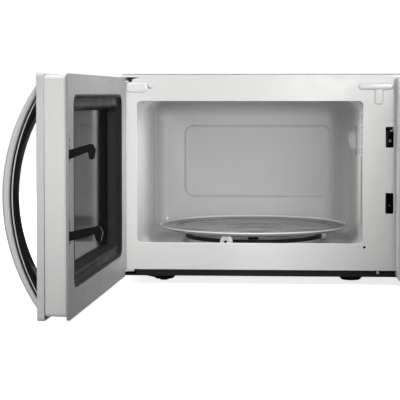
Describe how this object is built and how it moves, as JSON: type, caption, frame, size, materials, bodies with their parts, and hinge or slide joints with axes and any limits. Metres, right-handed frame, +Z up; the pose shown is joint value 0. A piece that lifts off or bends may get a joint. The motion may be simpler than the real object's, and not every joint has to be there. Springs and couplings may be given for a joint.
{
  "type": "microwave oven",
  "caption": "Countertop microwave oven with an open side-hinged door, latch, glass turntable on rollers, curved pull handle and full inner works.",
  "frame": {"origin": "middle of the whole footprint with the door open, on the counter that the feet stand on", "axes": "+Z up; -Y towards the user, the way the oven opening faces; +X towards the control panel"},
  "size_m": [0.6092, 0.7742, 0.317],
  "materials": {
    "white_paint": "satin white powder coat",
    "cavity_paint": "semi-gloss grey enamel",
    "black_paint": "satin black",
    "zinc": "zinc-plated steel",
    "steel_core": "varnished laminations",
    "aluminium": "bare",
    "white_plastic": "semi-gloss white",
    "silver_plastic": "silver lacquer, high gloss",
    "black_plastic": "semi-gloss black",
    "grey_plastic": "fine-textured dark grey",
    "keypad_film": "printed membrane",
    "board": "circuit board",
    "tinted_glass": "dark tinted",
    "clear_glass": "clear tempered",
    "clear_film": "clear film",
    "mica": "pressed mica sheet",
    "rubber": "matte",
    "screen": "perforated, satin black"
  },
  "bodies": {
    "cabinet": {"base_plate": "black_paint", "outer_cover": "white_paint", "rear_panel": "zinc", "front_plate": "white_paint", "cavity_liner": "cavity_paint", "cavity_back_wall": "cavity_paint", "waveguide_cover": "mica", "lamp_dome": "cavity_paint", "foot_front_left": "rubber", "foot_front_right": "rubber", "foot_rear_left": "rubber", "foot_rear_right": "rubber", "hinge_plate_upper": "white_paint", "hinge_plate_lower": "white_paint", "hinge_screw": "zinc", "base_screw": "zinc", "rear_screw_1": "zinc", "rear_screw_2": "zinc", "cord_inlet": "black_plastic", "waveguide_duct": "zinc", "magnetron": "aluminium", "hv_transformer": "steel_core", "hv_capacitor": "aluminium", "fan_shroud": "zinc", "fan_motor": "steel_core", "filter_board": "board", "oven_lamp": "white_plastic", "turntable_motor": "zinc", "latch_board": "white_plastic", "door_switch_1": "black_plastic", "door_switch_2": "black_plastic", "door_switch_3": "black_plastic", "control_panel_housing": "white_plastic", "control_board": "board", "display_window": "tinted_glass", "keypad": "keypad_film"},
    "door": {"door_outer_frame": "white_plastic", "door_glass": "tinted_glass", "door_pan": "white_paint", "door_screen": "screen", "door_inner_film": "clear_film", "door_trim_frame": "grey_plastic", "door_choke_cover": "black_plastic", "latch_spring": "zinc", "handle_bar": "silver_plastic", "handle_liner": "black_plastic", "handle_screw_1": "zinc", "handle_screw_2": "zinc"},
    "latch": {"latch_lever": "black_plastic"},
    "coupler": {"turntable_coupler": "black_plastic"},
    "tray": {"glass_tray": "clear_glass"},
    "ring": {"roller_ring": "black_plastic"},
    "wheel_1": {"roller_wheel_1": "white_plastic"},
    "wheel_2": {"roller_wheel_2": "white_plastic"},
    "wheel_3": {"roller_wheel_3": "white_plastic"},
    "fan": {"fan_blade": "black_plastic"},
    "plunger_1": {"switch_plunger_1": "white_plastic"},
    "plunger_2": {"switch_plunger_2": "white_plastic"},
    "plunger_3": {"switch_plunger_3": "white_plastic"}
  },
  "joints": [
    {"name": "door_hinge", "type": "hinge", "parent": "cabinet", "child": "door", "pos_m": [-0.20491, 0.02013, 0.16], "axis": [0, 0, -1], "range_deg": [-92.9, 12.1]},
    {"name": "latch_lift", "type": "slide", "parent": "door", "child": "latch", "axis": [0, 0, 1], "range_m": [0, 0.006], "stiffness_N_per_m": 250, "springref_m": -0.004, "deforming": ["latch_spring"]},
    {"name": "turntable_spin", "type": "hinge", "parent": "cabinet", "child": "coupler", "pos_m": [-0.01191, 0.19513, 0.06], "axis": [0, 0, 1], "continuous": true},
    {"name": "tray_lift", "type": "slide", "parent": "coupler", "child": "tray", "axis": [0, 0, 1], "range_m": [0, 0.05]},
    {"name": "ring_spin", "type": "hinge", "parent": "cabinet", "child": "ring", "pos_m": [-0.01191, 0.19513, 0.0578], "axis": [0, 0, 1], "continuous": true},
    {"name": "wheel_spin_1", "type": "hinge", "parent": "ring", "child": "wheel_1", "pos_m": [-0.05124, 0.08706, 0.0578], "axis": [-0.342, -0.9397, 0], "continuous": true},
    {"name": "wheel_spin_2", "type": "hinge", "parent": "ring", "child": "wheel_2", "pos_m": [0.10134, 0.2151, 0.0578], "axis": [0.9848, 0.1736, 0], "continuous": true},
    {"name": "wheel_spin_3", "type": "hinge", "parent": "ring", "child": "wheel_3", "pos_m": [-0.08583, 0.28322, 0.0578], "axis": [-0.6428, 0.766, 0], "continuous": true},
    {"name": "fan_spin", "type": "hinge", "parent": "cabinet", "child": "fan", "pos_m": [0.23009, 0.33713, 0.2], "axis": [0, 1, 0], "continuous": true},
    {"name": "plunger_press_1", "type": "slide", "parent": "cabinet", "child": "plunger_1", "axis": [0, 1, 0], "range_m": [0, 0.003], "stiffness_N_per_m": 200, "springref_m": -0.002},
    {"name": "plunger_press_2", "type": "slide", "parent": "cabinet", "child": "plunger_2", "axis": [0, 1, 0], "range_m": [0, 0.003], "stiffness_N_per_m": 200, "springref_m": -0.002},
    {"name": "plunger_press_3", "type": "slide", "parent": "cabinet", "child": "plunger_3", "axis": [0, 1, 0], "range_m": [0, 0.003], "stiffness_N_per_m": 200, "springref_m": -0.002}
  ],
  "couplings": [
    {"joint": "ring_spin", "follows": "turntable_spin", "ratio": 0.5},
    {"joint": "wheel_spin_1", "follows": "turntable_spin", "ratio": -6.0526},
    {"joint": "wheel_spin_2", "follows": "turntable_spin", "ratio": -6.0526},
    {"joint": "wheel_spin_3", "follows": "turntable_spin", "ratio": -6.0526}
  ]
}
